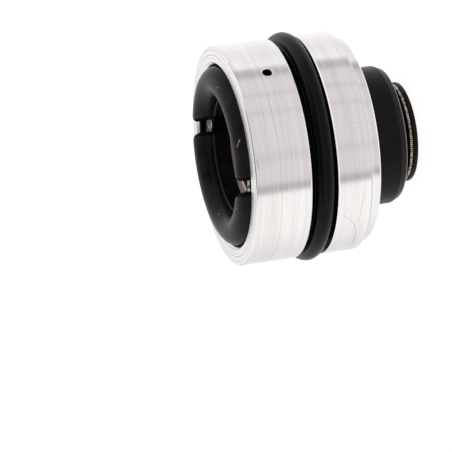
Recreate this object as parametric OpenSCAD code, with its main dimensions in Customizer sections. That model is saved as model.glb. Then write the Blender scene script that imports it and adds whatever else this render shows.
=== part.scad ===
// Damper seal head: a turned ring that guides and seals the rod of a shock absorber.
// It stands on its dust lip with the bore along Z. Sizes are in millimetres.

/* [Rod and fits] */
// Diameter of the damper rod that runs through the seal head
rod_d = 16; // [12:0.5:18]
// Radial running clearance between the rod and its guide bush
running_clearance = 0.03; // [0.01:0.01:0.1]
// Radial gap left at every pressed or moulded seat
seat_gap = 0.02; // [0.01:0.01:0.05]

/* [Housing] */
// Outside diameter of the two lands that fit the damper tube
body_d = 46; // [44:0.5:60]
// Length of the land between the O-ring groove and the lower step
outer_land_len = 7.4; // [5:0.1:10]
// Radial depth of the step at the housing's lower end
step_depth = 1.45; // [1:0.05:2.5]
// Length of that step
step_len = 2.25; // [1.5:0.05:4]
// Radial wall around the bumper's counterbore
rim_wall = 3.95; // [3:0.05:5]
// Lead-in chamfer at the mouth of that counterbore
counterbore_lead = 0.5; // [0.2:0.05:0.8]
// Width of the flat part of the rim's face, measured from the counterbore
rim_flat_w = 2.15; // [1:0.05:2.4]
// Drop of the shallow bevel around that flat
rim_bevel_h = 0.1; // [0.05:0.05:0.5]
// Chamfer on the rim's outer edge
rim_edge = 0.15; // [0.05:0.05:0.4]
// Chamfer on the turned edges
edge_break = 0.3; // [0.1:0.05:0.5]
// Chamfer on the two edges of the O-ring groove
groove_edge = 0.15; // [0.05:0.05:0.4]

/* [O-ring] */
// Thickness of the O-ring
o_ring_section = 4; // [3:0.1:4.4]
// How far the O-ring stands proud of the lands
o_ring_proud = 0.9; // [0.2:0.05:1]
// Width of the O-ring groove
groove_w = 5.6; // [5.2:0.1:7]
// Gap between the O-ring and the groove's lower wall on the +X side, where it lies lowest
o_ring_side_gap = 0.05; // [0.02:0.01:0.2]
// How much higher the O-ring lies on the -X side, as it is not yet pressed into a tube
o_ring_lift = 0.75; // [0:0.05:0.75]

/* [Guide hub and bush] */
// Depth of the hub's face below the rim
hub_depth = 5; // [4.5:0.1:7]
// Radial wall of the hub around the guide bush
hub_wall = 3.2; // [2:0.1:4]
// Width of the ring-shaped oil channel around the hub
channel_w = 2.3; // [2:0.1:3]
// Depth of that channel below the hub's face
channel_depth = 3.6; // [2.5:0.1:5]
// Wall of the guide bush
bush_wall = 0.97; // [0.75:0.01:1.5]
// Length of the guide bush
bush_len = 10; // [8:0.5:20]
// Depth of the bush below the hub's face
bush_recess = 0.2; // [0.1:0.05:1]
// Lead-in chamfer at the mouth of the bush's seat
bush_lead = 0.4; // [0.2:0.05:0.8]
// Width of the butt joint in the rolled bush
bush_seam_w = 0.15; // [0.05:0.05:0.4]
// Angle of that joint around the bore
bush_seam_angle = 135; // [0:5:355]

/* [Bleed hole] */
// Diameter of the drilled bleed hole
bleed_d = 1.9; // [1:0.1:2.5]
// Depth of its axis below the hub's face
bleed_below_hub = 2.03; // [1.5:0.01:3]
// Chamfer at its mouth
bleed_chamfer = 0.25; // [0.1:0.05:0.5]
// Angle of the hole around the bore
bleed_angle = -46; // [-180:1:180]

/* [Rebound bumper] */
// Depth of the bumper plate's top below the rim
plate_recess = 1.25; // [0.8:0.05:2]
// Thickness of the steel plate inside the bumper
plate_t = 1.2; // [0.8:0.1:1.6]
// Rubber that covers the inner edge of the plate
plate_cover = 0.5; // [0.3:0.05:0.8]
// How far the crown stands proud of the rim
crown_proud = 2; // [1:0.1:4]
// Gap between the bumper and the counterbore
bumper_gap = 0.3; // [0.1:0.05:0.6]
// Depth of the bumper's shoulder, where its outer wall starts, below the rim
bumper_shoulder = 0.55; // [0.4:0.05:0.8]
// Wall of the skirt that lines the hole of the bumper
skirt_wall = 2.1; // [1:0.1:2.5]
// Gap between the skirt and the housing
skirt_gap = 0.3; // [0.1:0.05:0.6]
// Gap between the skirt's lower end and the hub
skirt_end_gap = 0.15; // [0.05:0.05:0.5]
// Width of the two oil notches
notch_w = 2.4; // [1.5:0.1:4]
// Distance of each notch's centre line from the bore's axis
notch_offset = 6.5; // [0:0.1:8]
// Rounding of the notch's upper edges
notch_edge_r = 1.2; // [0.5:0.1:2]
// Width of the outer web that joins the two halves of the crown
web_w = 1.15; // [0.8:0.05:1.6]
// Depth of that web's top below the rim
web_depth = 0.35; // [0.1:0.05:0.6]

/* [Oil seal] */
// Radial width of the oil seal
oil_seal_w = 6; // [5:0.1:7]
// Height of the oil seal
oil_seal_h = 6; // [5:0.1:8]
// Thickness of the housing's wall between the bush and the oil seal
partition_t = 1; // [0.8:0.1:3]
// Radial room between the rod and that wall
partition_gap = 0.6; // [0.3:0.05:1]
// Thickness of the washer under the oil seal
washer_t = 1; // [0.6:0.1:2]
// Thickness of the oil seal's garter spring
oil_spring_d = 1.2; // [0.8:0.1:1.4]

/* [Dust seal] */
// How much wider the dust seal's seat is than the oil seal's, on the radius
seal_step = 0.5; // [0.3:0.05:1]
// Length of the dust seal that is pressed into the housing
dust_seat_len = 3.95; // [3:0.05:8]
// Length of the dust seal that stands out of the housing
dust_reach = 12; // [9:0.1:16]
// Height of the lip's head, from its end to the seal's body
dust_head_h = 3.57; // [3:0.01:4.5]
// Height of the chamfer at the end of the seal's body
dust_chamfer_h = 1.58; // [1:0.02:2.5]
// Radial depth of that chamfer
dust_chamfer_w = 0.77; // [0.4:0.01:1.5]
// Radial width of the flange at the end of the lip
dust_flange_w = 2.46; // [2.2:0.02:3]
// Height of that flange
dust_flange_h = 1; // [0.7:0.05:1.3]
// Radial width of the neck above the flange
dust_neck_w = 1.85; // [1.6:0.05:2.1]
// Radial wall of the seal's body
dust_wall = 2.9; // [2:0.1:3.5]
// Thickness of the dust seal's garter spring
dust_spring_d = 1; // [0.7:0.05:1.1]
// How far the middle of that spring's wire ring stands out of the neck
dust_spring_out = 0.15; // [0:0.05:0.3]

/* [Hidden] */
$fn = 96;

// Overshoot of cutting shapes past the face that they cut
overcut = 1;

// Radii, from the rod outwards
rod_r = rod_d / 2;
bush_r = rod_r + running_clearance;
bush_outer_r = bush_r + bush_wall;
bush_seat_r = bush_outer_r + seat_gap;
hub_r = bush_outer_r + hub_wall;
channel_r = hub_r + channel_w;
partition_r = rod_r + partition_gap;
body_r = body_d / 2;
step_r = body_r - step_depth;
groove_r = body_r - (o_ring_section - o_ring_proud);
counterbore_r = body_r - rim_wall;
oil_seal_r = rod_r + oil_seal_w;
dust_seal_r = oil_seal_r + seal_step;

// Heights, from the lip's end upwards
body_len = hub_depth + bush_recess + bush_len + partition_t + oil_seal_h + washer_t + dust_seat_len;
z_end = dust_reach;
z_rim = z_end + body_len;
z_step = z_end + step_len;
z_groove_low = z_step + outer_land_len;
z_groove_high = z_groove_low + groove_w;
z_hub = z_rim - hub_depth;
z_channel = z_hub - channel_depth;
z_bush_top = z_hub - bush_recess;
z_bush = z_bush_top - bush_len;
z_oil_top = z_bush - partition_t;
z_oil = z_oil_top - oil_seal_h;
z_dust_top = z_oil - washer_t;

// The bumper takes its sizes from the counterbore, the channel and the plate
z_plate_top = z_rim - plate_recess;
z_plate = z_plate_top - plate_t;
skirt_r = channel_r - skirt_gap;
hole_r = skirt_r - skirt_wall;
plate_hole_r = hole_r + plate_cover;
plate_r = counterbore_r - seat_gap;
bumper_r = counterbore_r - bumper_gap;
crown_r = (hole_r + bumper_r) / 2;
z_crown = z_rim + crown_proud;
z_bumper_shoulder = z_rim - bumper_shoulder;
crown_steps = 12;

// Sections of the two seals
oil_case_wall = 1.4;
oil_base_h = 1.8;
oil_lip_h = 5.6;
oil_lip_edge_h = 4;
oil_arm_r = rod_r + 2.6;
oil_back_r = rod_r + 0.8;
oil_lip_top_r = rod_r + 0.9;
oil_spring_h = 4.4;
dust_flange_r = rod_r + dust_flange_w;
dust_neck_r = rod_r + dust_neck_w;
dust_spring_r = dust_neck_r + dust_spring_out;
dust_spring_z = dust_flange_h + dust_spring_d / 2;
dust_cup_r = dust_seal_r - dust_wall;
dust_cup_h = 2;
dust_waist_r = rod_r + 0.9;
dust_lip_h = 1.1;
dust_scraper_w = 0.6;
dust_edge = 0.3;

// Points on a quarter of an ellipse about [r, z], from one angle to another
function ellipse_arc(r, z, half_w, half_h, from, to) =
    [for (i = [0 : crown_steps])
        let (a = from + (to - from) * i / crown_steps)
        [r + half_w * cos(a), z + half_h * sin(a)]];

// A ring of round wire about the bore
module wire_ring(ring_r, wire_d, z) {
    translate([0, 0, z])
        rotate_extrude()
            translate([ring_r, 0])
                circle(d = wire_d, $fn = 32);
}

// A flat washer about the bore
module flat_ring(inner_r, outer_r, thickness, z) {
    translate([0, 0, z])
        difference() {
            cylinder(r = outer_r, h = thickness);
            translate([0, 0, -overcut])
                cylinder(r = inner_r, h = thickness + 2 * overcut);
        }
}

module housing_section() {
    polygon([
        // lower end face and the step above it
        [dust_seal_r + seat_gap + edge_break, z_end],
        [step_r - edge_break, z_end],
        [step_r, z_end + edge_break],
        [step_r, z_step],
        // outer land
        [body_r - edge_break, z_step],
        [body_r, z_step + edge_break],
        [body_r, z_groove_low - groove_edge],
        // O-ring groove
        [body_r - groove_edge, z_groove_low],
        [groove_r, z_groove_low],
        [groove_r, z_groove_high],
        [body_r - groove_edge, z_groove_high],
        // inner land and the rim
        [body_r, z_groove_high + groove_edge],
        [body_r, z_rim - rim_bevel_h - rim_edge],
        [body_r - rim_edge, z_rim - rim_bevel_h],
        [counterbore_r + rim_flat_w, z_rim],
        [counterbore_r + counterbore_lead, z_rim],
        [counterbore_r, z_rim - counterbore_lead],
        // counterbore, oil channel and hub
        [counterbore_r, z_plate],
        [channel_r, z_plate],
        [channel_r, z_channel],
        [hub_r, z_channel],
        [hub_r, z_hub],
        // seat of the guide bush
        [bush_seat_r + bush_lead, z_hub],
        [bush_seat_r, z_hub - bush_lead],
        [bush_seat_r, z_bush],
        [partition_r, z_bush],
        [partition_r, z_oil_top],
        // pockets of the oil seal and the dust seal
        [oil_seal_r + seat_gap, z_oil_top],
        [oil_seal_r + seat_gap, z_oil],
        [dust_seal_r + seat_gap, z_oil],
        [dust_seal_r + seat_gap, z_end + edge_break]
    ]);
}

module bleed_drill() {
    bleed_r = bleed_d / 2;
    rotate([0, 0, bleed_angle])
        translate([0, 0, z_hub - bleed_below_hub])
            rotate([0, 90, 0]) {
                translate([0, 0, hub_r + channel_w / 2])
                    cylinder(r = bleed_r, h = body_r, $fn = 48);
                translate([0, 0, body_r - bleed_chamfer])
                    cylinder(r1 = bleed_r, r2 = bleed_r + 2 * bleed_chamfer, h = 2 * bleed_chamfer, $fn = 48);
            }
}

module housing() {
    color("silver")
        difference() {
            rotate_extrude()
                housing_section();
            bleed_drill();
        }
}

// The O-ring lies a little askew in its groove
module outer_o_ring() {
    ring_r = groove_r + seat_gap + o_ring_section / 2;
    color([0.08, 0.08, 0.09])
        translate([0, 0, z_groove_low + o_ring_side_gap + o_ring_section / 2 + o_ring_lift / 2])
            rotate([0, atan(o_ring_lift / 2 / ring_r), 0])
                wire_ring(ring_r, o_ring_section, 0);
}

module bumper_section() {
    polygon(concat(
        // skirt under the plate, and the sleeve that passes through it
        [
            [hole_r, z_hub + skirt_end_gap],
            [skirt_r, z_hub + skirt_end_gap],
            [skirt_r, z_plate],
            [plate_hole_r - seat_gap, z_plate],
            [plate_hole_r - seat_gap, z_plate_top],
            [bumper_r, z_plate_top]
        ],
        // rounded crown, from the outer wall over the top to the hole
        ellipse_arc(crown_r, z_bumper_shoulder, bumper_r - crown_r, z_crown - z_bumper_shoulder, 0, 90),
        ellipse_arc(crown_r, z_plate_top, crown_r - hole_r, z_crown - z_plate_top, 90, 180)
    ));
}

// Cross-section of an oil notch: straight walls that flare into rounded upper edges
module notch_section(depth_z) {
    translate([-notch_w / 2, depth_z])
        square([notch_w, z_crown + overcut - depth_z]);
    translate([-notch_w / 2 - notch_edge_r, z_crown - notch_edge_r])
        difference() {
            square([notch_w + 2 * notch_edge_r, notch_edge_r + overcut]);
            circle(r = notch_edge_r, $fn = 48);
            translate([notch_w + 2 * notch_edge_r, 0])
                circle(r = notch_edge_r, $fn = 48);
        }
}

// One notch runs outwards from the middle, beside the axis, to the chosen radius
module notch_cut(depth_z, reach_r) {
    intersection() {
        translate([notch_offset, 0, 0])
            rotate([90, 0, 180])
                linear_extrude(body_r)
                    notch_section(depth_z);
        translate([0, 0, depth_z - overcut])
            cylinder(r = reach_r, h = z_crown - depth_z + 3 * overcut);
    }
}

module rebound_bumper() {
    color([0.1, 0.1, 0.11])
        difference() {
            rotate_extrude()
                bumper_section();
            for (turn = [0, 180])
                rotate([0, 0, turn]) {
                    notch_cut(z_plate_top, bumper_r - web_w);
                    notch_cut(z_rim - web_depth, body_r);
                }
        }
}

module bumper_plate() {
    color([0.6, 0.6, 0.58])
        flat_ring(plate_hole_r, plate_r, plate_t, z_plate);
}

module guide_bush() {
    color([0.72, 0.6, 0.42])
        difference() {
            flat_ring(bush_r, bush_outer_r, bush_len, z_bush);
            rotate([0, 0, bush_seam_angle])
                translate([0, -bush_seam_w / 2, z_bush - overcut])
                    cube([bush_outer_r + overcut, bush_seam_w, bush_len + 2 * overcut]);
        }
}

module oil_seal() {
    color([0.16, 0.13, 0.11])
        translate([0, 0, z_oil])
            rotate_extrude()
                difference() {
                    polygon([
                        [oil_back_r, 0],
                        [oil_seal_r, 0],
                        [oil_seal_r, oil_seal_h],
                        [oil_seal_r - oil_case_wall, oil_seal_h],
                        [oil_seal_r - oil_case_wall, oil_base_h],
                        [oil_arm_r, oil_base_h],
                        [oil_arm_r, oil_lip_h],
                        [oil_lip_top_r, oil_lip_h],
                        [rod_r, oil_lip_edge_h],
                        [oil_back_r, oil_base_h]
                    ]);
                    translate([oil_arm_r, oil_spring_h])
                        circle(d = oil_spring_d + 2 * seat_gap, $fn = 32);
                }
}

module oil_seal_spring() {
    color([0.7, 0.68, 0.64])
        wire_ring(oil_arm_r, oil_spring_d, z_oil + oil_spring_h);
}

module seal_washer() {
    color([0.62, 0.62, 0.64])
        flat_ring(partition_r, dust_seal_r, washer_t, z_dust_top);
}

module dust_seal() {
    z_body = dust_head_h + dust_chamfer_h;
    color([0.08, 0.08, 0.09])
        rotate_extrude()
            difference() {
                polygon([
                    // scraping lip and the flange at its end
                    [rod_r, dust_lip_h],
                    [rod_r + dust_scraper_w, 0],
                    [dust_flange_r - dust_edge, 0],
                    [dust_flange_r, dust_edge],
                    [dust_flange_r, dust_flange_h],
                    // neck and body
                    [dust_neck_r, dust_flange_h],
                    [dust_neck_r, dust_head_h],
                    [dust_seal_r - dust_chamfer_w, dust_head_h],
                    [dust_seal_r, z_body],
                    [dust_seal_r, z_dust_top - dust_edge],
                    [dust_seal_r - dust_edge, z_dust_top],
                    // hollow inside
                    [dust_cup_r, z_dust_top],
                    [dust_cup_r, z_body + dust_cup_h],
                    [dust_waist_r, z_body],
                    [dust_waist_r, dust_head_h]
                ]);
                translate([dust_spring_r, dust_spring_z])
                    circle(d = dust_spring_d + 2 * seat_gap, $fn = 32);
            }
}

module dust_seal_spring() {
    color([0.72, 0.66, 0.58])
        wire_ring(dust_spring_r, dust_spring_d, dust_spring_z);
}

housing();
outer_o_ring();
rebound_bumper();
bumper_plate();
guide_bush();
oil_seal();
oil_seal_spring();
seal_washer();
dust_seal();
dust_seal_spring();
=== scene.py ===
# %% [markdown]
# # A damper seal head
#
# This lesson dresses a seal head from a rear shock absorber: a turned aluminium ring that
# guides the damper's rod, holds its oil seal and carries a rubber bumper and a dust seal.
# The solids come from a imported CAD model, which fixes every place and size. Each step below
# makes one piece or one finish, and each piece stands for one of those solids.

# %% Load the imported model
import bpy
import bmesh
import math
from mathutils import Matrix, Vector


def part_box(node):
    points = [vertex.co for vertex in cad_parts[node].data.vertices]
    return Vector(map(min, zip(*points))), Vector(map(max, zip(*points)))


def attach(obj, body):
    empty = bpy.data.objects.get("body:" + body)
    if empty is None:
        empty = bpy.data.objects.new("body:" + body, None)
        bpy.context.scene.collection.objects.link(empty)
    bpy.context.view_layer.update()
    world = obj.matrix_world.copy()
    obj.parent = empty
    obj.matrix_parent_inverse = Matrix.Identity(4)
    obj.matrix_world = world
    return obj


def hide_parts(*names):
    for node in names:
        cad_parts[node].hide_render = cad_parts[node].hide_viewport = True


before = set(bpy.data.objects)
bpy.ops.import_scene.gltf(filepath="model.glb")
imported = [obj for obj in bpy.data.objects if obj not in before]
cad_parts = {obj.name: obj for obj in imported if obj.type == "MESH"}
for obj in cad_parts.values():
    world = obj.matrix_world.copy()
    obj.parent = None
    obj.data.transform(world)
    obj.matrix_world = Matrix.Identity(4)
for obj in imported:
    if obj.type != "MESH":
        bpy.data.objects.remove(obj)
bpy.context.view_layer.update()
# Blender works in metres. Sizes below are in millimetres where nothing else is said, and a name
# that ends in _R is a radius, one that ends in _Z a height
MM = 0.001
print("solids:", ", ".join(sorted(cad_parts)))

# %% [markdown]
# ## The camera
#
# The photograph was taken from far away with a long lens, so parallel lines hardly meet.
# The seal head stands on its lip here and lies on its side in the photograph, so the camera
# is rolled: the picture's up is nearly this part's +X. Its place was worked out from the
# ellipses of the housing's edges. A camera could be turned by three angles, but a direction
# to look along and one for the picture's up are easier to check, so its matrix is built from
# those two.

# %% Place the camera
PICTURE_PIXELS = 452
FOCAL_PIXELS = 3599
SENSOR_WIDTH = 36
CAMERA_PLACE = Vector((12.2, -720.5, 231.4)) * MM
LOOK_ALONG = Vector((-0.0357, 0.9661, -0.2558)).normalized()
PICTURE_UP = Vector((0.9904, 0.0, -0.1381))
# The nearest and the farthest thing to draw, in metres
NEAREST = 0.01
FARTHEST = 20

scene = bpy.context.scene
right = LOOK_ALONG.cross(PICTURE_UP).normalized()
up = right.cross(LOOK_ALONG)
camera_data = bpy.data.cameras.new("photo_camera")
camera_data.sensor_width = SENSOR_WIDTH
camera_data.lens = FOCAL_PIXELS / PICTURE_PIXELS * SENSOR_WIDTH
camera_data.clip_start = NEAREST
camera_data.clip_end = FARTHEST
camera = bpy.data.objects.new("photo_camera", camera_data)
turn = Matrix((right, up, -LOOK_ALONG)).transposed().to_4x4()
camera.matrix_world = Matrix.Translation(CAMERA_PLACE) @ turn
scene.collection.objects.link(camera)
scene.camera = camera
print("lens: %.1f mm" % camera_data.lens)

# %% [markdown]
# ## Helpers for colours and nodes
#
# Colours are written as sRGB hex values, the way a colour picker gives them, and one function
# turns them to the linear values that shaders want. A second function adds a node with its
# settings and links, so that every material below reads as a list of steps.

# %% Define the helpers
def colour(code):
    """A linear RGBA colour from an sRGB hex code."""
    parts = [int(code[i:i + 2], 16) / 255 for i in (1, 3, 5)]
    return [p / 12.92 if p <= 0.04045 else ((p + 0.055) / 1.055) ** 2.4 for p in parts] + [1.0]


def add(tree, kind, inputs=None, **settings):
    """Adds a node with its properties and with a value or a link for each named input.

    It returns the node's first live output. The others are in that socket's node.outputs.
    """
    made = tree.nodes.new(kind)
    for name, value in settings.items():
        setattr(made, name, value)
    for name, value in (inputs or {}).items():
        if isinstance(value, bpy.types.NodeSocket):
            tree.links.new(value, made.inputs[name])
        else:
            made.inputs[name].default_value = value
    return next((output for output in made.outputs if output.enabled), None)


def new_material(name, **sockets):
    """A material with a Principled shader, and constant values for some of its sockets."""
    made = bpy.data.materials.new(name)
    made.use_nodes = True
    shader = made.node_tree.nodes["Principled BSDF"]
    for socket, value in sockets.items():
        shader.inputs[socket.replace("_", " ")].default_value = value
    return made, made.node_tree, shader


print("half of full sRGB is %.3f in linear light" % colour("#808080")[0])

# %% [markdown]
# ## Masks
#
# A mask says how much one colour covers another at each point. It could be painted, but then
# it would be a picture. Here it is worked out from sizes: every mask is a product of smooth
# steps, and each step has a value, where the cover starts and where it is full. A line is a
# cover that is full in its middle.

# %% Define masks, covers, tones and lines
def inside(tree, limits, share=1.0):
    """A mask inside some limits. Each is a value, where the mask starts and where it is full."""
    mask = share
    for value, start, full in limits:
        step = add(tree, "ShaderNodeMapRange", {
            "Value": value, "From Min": start, "From Max": full}, interpolation_type="SMOOTHSTEP")
        mask = add(tree, "ShaderNodeMath", {0: step, 1: mask}, operation="MULTIPLY")
    return mask


def covered(tree, base, cover, limits, share=1.0):
    """A colour that another one covers inside some limits."""
    mask = inside(tree, limits, share)
    return add(tree, "ShaderNodeMix", {"Factor": mask, 6: base, 7: cover}, data_type="RGBA")


def toned(tree, value, low, high, first, second):
    """A colour that goes from a first tone to a second one as a value goes from low to high."""
    share = add(tree, "ShaderNodeMapRange", {"Value": value, "From Min": low, "From Max": high})
    return add(tree, "ShaderNodeMix", {
        "Factor": share, 6: colour(first), 7: colour(second)}, data_type="RGBA")


def apart(tree, value, other):
    """How far a value is from another one, on either side."""
    shifted = add(tree, "ShaderNodeMath", {0: value, 1: other}, operation="SUBTRACT")
    return add(tree, "ShaderNodeMath", {0: shifted}, operation="ABSOLUTE")


def lined(tree, base, cover, value, lines, limits=()):
    """A colour with soft lines across it. Each lies at a value, and has a half width and a depth."""
    for at, half_width, depth in lines:
        line = (apart(tree, value, at), half_width, 0.0)
        base = covered(tree, base, cover, [line, *limits], depth)
    return base


print("helpers:", inside.__name__, covered.__name__, toned.__name__, lined.__name__)

# %% [markdown]
# ## The studio
#
# A polished cylinder shows its surroundings as bands along its length, so the studio is made
# before the metal. It could be built from lamps alone, but their reflections are hard to
# place. Here the world itself is the studio. A low strip runs all around: pale, with a sheet
# of grey paper on the camera's side, and with soft shade lines that the lands show as streaks.
# Above it the studio is white, a little greyer behind the part, grey overhead and darkest high
# above the camera.

# %% Build the world
SURROUND = "#F5F4F3"
PAPER = "#D9D3D5"
PAPER_ENDS = (-43, 94)
PAPER_FADE = 4
SHADE = "#8A8892"
# Degrees around the part, 0 towards the camera and 90 to the picture's top, half width and depth
SHADE_LINES = (
    (-145, 60, 0.24), (-40, 8, 0.6), (-7, 9, 0.15), (39.5, 4, 0.2), (60, 4, 0.25), (88, 11, 0.55),
    (120, 35, 0.15))
# Heights of a direction, from -1 straight down to 1 straight up
STRIP_BOTTOM = -0.72
STRIP_TOP = 0.1
STRIP_FADE = 0.12
STUDIO_STRENGTH = 1.1

world = bpy.data.worlds.new("studio")
world.use_nodes = True
studio = world.node_tree
studio.nodes.clear()
way = add(studio, "ShaderNodeTexCoord").node.outputs["Generated"]
axis = add(studio, "ShaderNodeSeparateXYZ", {0: way}).node.outputs
front = add(studio, "ShaderNodeMath", {0: axis["Y"], 1: -1.0}, operation="MULTIPLY")
around = add(studio, "ShaderNodeMath", {0: axis["X"], 1: front}, operation="ARCTAN2")
around = add(studio, "ShaderNodeMath", {0: around}, operation="DEGREES")

paper_low, paper_high = PAPER_ENDS
strip = covered(studio, colour(SURROUND), colour(PAPER), [
    (around, paper_low - PAPER_FADE, paper_low), (around, paper_high + PAPER_FADE, paper_high)])
strip = lined(studio, strip, colour(SHADE), around, SHADE_LINES)
upper = colour("#FFFFFF")
# Behind the part, overhead, and high above the camera
for code, limits in (
        ("#ECEAEA", [(axis["Y"], 0.2, 0.6), (axis["Z"], 0.45, 0.3)]),
        ("#A0A0A0", [(axis["Z"], 0.8, 0.95)]),
        ("#5A5A5A", [(axis["Y"], -0.1, -0.4), (axis["Z"], 0.42, 0.6)])):
    upper = covered(studio, upper, colour(code), limits)
light = covered(studio, upper, strip, [
    (axis["Z"], STRIP_BOTTOM - STRIP_FADE, STRIP_BOTTOM), (axis["Z"], STRIP_TOP + STRIP_FADE, STRIP_TOP)])
backdrop = add(studio, "ShaderNodeBackground", {"Color": light, "Strength": STUDIO_STRENGTH})
add(studio, "ShaderNodeOutputWorld", {"Surface": backdrop})
scene.world = world
scene.view_settings.view_transform = "Standard"
print("studio with", len(SHADE_LINES), "shade lines")

# %% [markdown]
# ## The floor and the lamp
#
# The part stands on white paper with no edge in sight. Lamps alone would light it unevenly, so
# the paper also glows by itself. It is hidden from mirror-like rays, so that the metal shows
# the studio and not the floor close by. One weak lamp overhead gives a soft shadow.

# %% Lay the floor and hang a lamp
# The floor's size and the lamp's place and size are in metres, the lamp's power in watts
FLOOR_SIZE = 8
FLOOR_GLOW = 0.93
LAMP_PLACE = (0.15, 0.1, 0.9)
LAMP_SIZE = 0.8
LAMP_POWER = 3

half = FLOOR_SIZE / 2
floor_corners = [(-half, -half, 0), (half, -half, 0), (half, half, 0), (-half, half, 0)]
floor_mesh = bpy.data.meshes.new("paper_floor")
floor_mesh.from_pydata(floor_corners, [], [(0, 1, 2, 3)])
floor = bpy.data.objects.new("paper_floor", floor_mesh)
scene.collection.objects.link(floor)
# White paper is matt, and its glow hides where it ends
paper, _, _ = new_material(
    "white_paper", Base_Color=colour("#6E6E6E"), Roughness=0.9,
    Emission_Color=colour("#FFFFFF"), Emission_Strength=FLOOR_GLOW)
floor_mesh.materials.append(paper)
floor.visible_glossy = False

lamp_data = bpy.data.lights.new("top_lamp", "AREA")
lamp_data.size = LAMP_SIZE
lamp_data.energy = LAMP_POWER
lamp = bpy.data.objects.new("top_lamp", lamp_data)
lamp.location = LAMP_PLACE
lamp.visible_camera = False
lamp.visible_glossy = False
scene.collection.objects.link(lamp)
print("floor %.0f m, lamp %.1f W" % (FLOOR_SIZE, LAMP_POWER))

# %% [markdown]
# ## Turned aluminium
#
# The housing is turned from aluminium bar and not coated. A lathe tool leaves fine rings, so
# the metal is smoother along them than across them, and a highlight is stretched across the
# rings. Bump could draw the rings, but they are finer than a pixel and would only flicker.
# Anisotropy in the shader gives the stretch instead, and the rings themselves are noise that
# changes fast with height and radius and slowly around.

# %% Start the aluminium with its rings
# The real rings are finer than a pixel, so they are drawn this wide in millimetres, to show
RING_WIDTH = 0.3
BAND_WIDTH = 1.6
SLOW_AROUND = 0.03


def in_millimetres(tree):
    """A point's place on the part in millimetres, whole and as X, Y and Z."""
    place = add(tree, "ShaderNodeTexCoord").node.outputs["Object"]
    place = add(tree, "ShaderNodeVectorMath", {0: place, "Scale": 1 / MM}, operation="SCALE")
    return place, add(tree, "ShaderNodeSeparateXYZ", {0: place}).node.outputs


def from_axis(tree, place):
    """The distance of a place from the bore's axis."""
    flat = add(tree, "ShaderNodeVectorMath", {0: place, 1: (1, 1, 0)}, operation="MULTIPLY")
    return add(tree, "ShaderNodeVectorMath", {0: flat}, operation="LENGTH")


# Turned aluminium is bright and pale, and draws each highlight out across the tool's rings
aluminium, tree, shader = new_material(
    "turned_aluminium", Metallic=1.0, Anisotropic=0.8, Anisotropic_Rotation=0.25)
place, axis = in_millimetres(tree)
height = axis["Z"]
radius = from_axis(tree, place)
across = add(tree, "ShaderNodeMath", {0: height, 1: radius}, operation="ADD")
slow = add(tree, "ShaderNodeVectorMath", {0: place, "Scale": SLOW_AROUND}, operation="SCALE")
slow = add(tree, "ShaderNodeSeparateXYZ", {0: slow}).node.outputs
ring_place = add(tree, "ShaderNodeCombineXYZ", {"X": across, "Y": slow["X"], "Z": slow["Y"]})
rings = add(tree, "ShaderNodeTexNoise", {
    "Vector": ring_place, "Scale": 1 / RING_WIDTH, "Detail": 3.0, "Roughness": 0.6})
bands = add(tree, "ShaderNodeTexNoise", {"Vector": ring_place, "Scale": 1 / BAND_WIDTH, "Detail": 1.0})
marks = add(tree, "ShaderNodeMath", {0: rings, 1: bands}, operation="ADD")
metal = toned(tree, marks, 0.7, 1.3, "#EAE7E7", "#FBFAF9")
print(aluminium.name, "with rings %.1f mm wide" % RING_WIDTH)

# %% [markdown]
# ### Scratches
#
# Handling has left a few scratches on the lands. They could be cut into the mesh, but they are
# only as deep as the tool's rings, so they are drawn. Each one is a line between two points,
# given as an angle around the part and a height on the unrolled land, and its mask is the
# distance from that line.

# %% Scratch the lands
SCRATCH_DEPTH = 0.55
# Angle and height where a scratch starts, angle and height where it ends, width
SCRATCHES = (
    (-41.5, 20.0, -48.2, 17.7, 0.10), (-48.2, 17.7, -54.3, 17.0, 0.12),
    (-54.3, 17.0, -77.3, 16.5, 0.08), (-54.3, 17.0, -78.7, 15.8, 0.08),
    (-27.0, 16.1, -48.0, 17.0, 0.07), (53.0, 34.8, 52.2, 34.6, 0.14),
    (-3.1, 38.5, -8.2, 38.3, 0.12), (8.6, 16.7, 7.9, 16.5, 0.14),
    (-36.0, 19.2, -41.5, 20.4, 0.05), (55.5, 38.9, 44.0, 38.9, 0.16),
    (-79.0, 38.9, -87.0, 38.95, 0.16))


def measured(node):
    """A round solid's outer radius, bottom and top, in millimetres."""
    low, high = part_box(node)
    return high[0] / MM, low[2] / MM, high[2] / MM


def scored(tree, base, cover, place, lines, depth=1.0):
    """A colour with thin straight marks on it, each with a start, an end and a width."""
    mask = 0.0
    for start, end, width in lines:
        run = Vector(end) - Vector(start)
        offset = add(tree, "ShaderNodeVectorMath", {0: place, 1: start}, operation="SUBTRACT")
        along = add(tree, "ShaderNodeVectorMath", {
            0: offset, 1: run / run.length_squared}, operation="DOT_PRODUCT")
        along = add(tree, "ShaderNodeClamp", {"Value": along})
        nearest = add(tree, "ShaderNodeVectorMath", {0: run, "Scale": along}, operation="SCALE")
        away = add(tree, "ShaderNodeVectorMath", {0: offset, 1: nearest}, operation="DISTANCE")
        line = inside(tree, [(away, width, 0.0)], depth)
        mask = add(tree, "ShaderNodeMath", {0: line, 1: mask}, operation="MAXIMUM")
    return add(tree, "ShaderNodeMix", {"Factor": mask, 6: base, 7: cover}, data_type="RGBA")


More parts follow.
